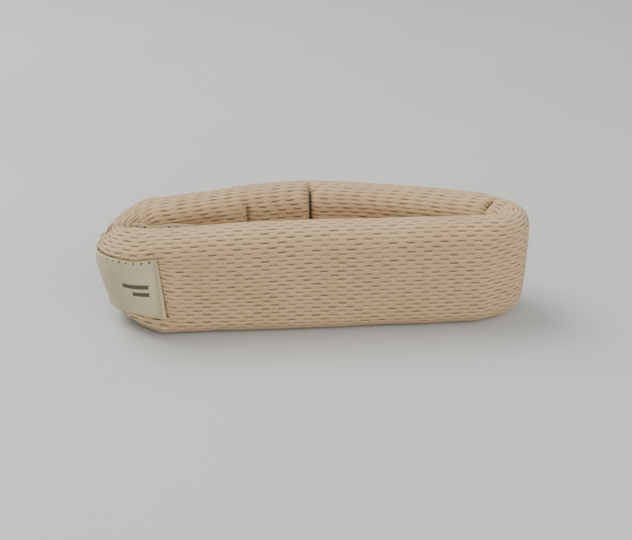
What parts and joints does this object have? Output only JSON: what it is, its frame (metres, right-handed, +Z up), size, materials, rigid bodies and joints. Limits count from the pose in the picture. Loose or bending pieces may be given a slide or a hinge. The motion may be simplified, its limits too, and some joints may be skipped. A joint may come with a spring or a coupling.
{
  "type": "cervical collar",
  "caption": "Small soft foam neck collar in a knitted cover, folded flat into a closed loop, with a tape strap and hook-and-loop closure.",
  "frame": {"origin": "centre of the collar's outline on the surface that it stands on", "axes": "+X along the front wall from the strap's end to the fold, +Y from the front wall to the back wall, +Z up the band's width"},
  "size_m": [0.1562, 0.0536, 0.04],
  "materials": {
    "knit": "matte",
    "foam": "matte",
    "tape": "matte",
    "hook_and_loop": "matte",
    "thread": "matte"
  },
  "bodies": {
    "front_band": {"front_cover": "knit", "front_foam": "foam"},
    "right_fold": {"right_fold_cover": "knit", "right_fold_foam": "foam"},
    "back_right": {"back_right_cover": "knit", "back_right_foam": "foam"},
    "back_middle": {"back_middle_cover": "knit", "back_middle_foam": "foam"},
    "back_left": {"back_left_cover": "knit", "back_left_foam": "foam", "back_end_cap": "knit", "loop_patch": "hook_and_loop", "backing_tape": "tape", "loop_stitching": "thread", "backing_stitching": "thread"},
    "left_fold": {"left_fold_cover": "knit", "left_fold_foam": "foam", "front_end_cap": "knit", "strap": "tape", "strap_stitching": "thread"},
    "strap_tail": {"strap_tail": "tape", "hook_tape": "hook_and_loop", "hook_stitching": "thread"},
    "pull_tab": {"pull_tab": "tape"}
  },
  "joints": [
    {"name": "right_fold_open", "type": "hinge", "parent": "front_band", "child": "right_fold", "pos_m": [0.05209, -0.02468, 0], "axis": [0, 0, -1], "range_deg": [0, 36]},
    {"name": "back_wall_open", "type": "hinge", "parent": "right_fold", "child": "back_right", "pos_m": [0.05997, 0.00996, 0], "axis": [0, 0, -1], "range_deg": [0, 36]},
    {"name": "deep_crease_flatten", "type": "hinge", "parent": "back_right", "child": "back_middle", "pos_m": [-0.00091, 0.02678, 0], "axis": [0, 0, -1], "range_deg": [0, 15]},
    {"name": "shallow_crease_flatten", "type": "hinge", "parent": "back_middle", "child": "back_left", "pos_m": [-0.02732, 0.02249, 0], "axis": [0, 0, -1], "range_deg": [0, 6]},
    {"name": "left_fold_open", "type": "hinge", "parent": "front_band", "child": "left_fold", "pos_m": [-0.04441, -0.02468, 0], "axis": [0, 0, 1], "range_deg": [0, 45]},
    {"name": "strap_peel", "type": "hinge", "parent": "left_fold", "child": "strap_tail", "pos_m": [-0.07777, -0.00146, 0], "axis": [0, 0, 1], "range_deg": [0, 110], "deforming": ["strap_tail", "hook_tape", "hook_stitching"]},
    {"name": "tab_lift", "type": "hinge", "parent": "strap_tail", "child": "pull_tab", "pos_m": [-0.06259, 0.01595, 0], "axis": [0, 0, 1], "range_deg": [0, 75], "deforming": ["pull_tab"]}
  ],
  "couplings": [
    {"joint": "back_wall_open", "follows": "right_fold_open", "ratio": 1},
    {"joint": "deep_crease_flatten", "follows": "right_fold_open", "ratio": 0.416},
    {"joint": "shallow_crease_flatten", "follows": "right_fold_open", "ratio": 0.166},
    {"joint": "left_fold_open", "follows": "right_fold_open", "ratio": 1.25}
  ]
}
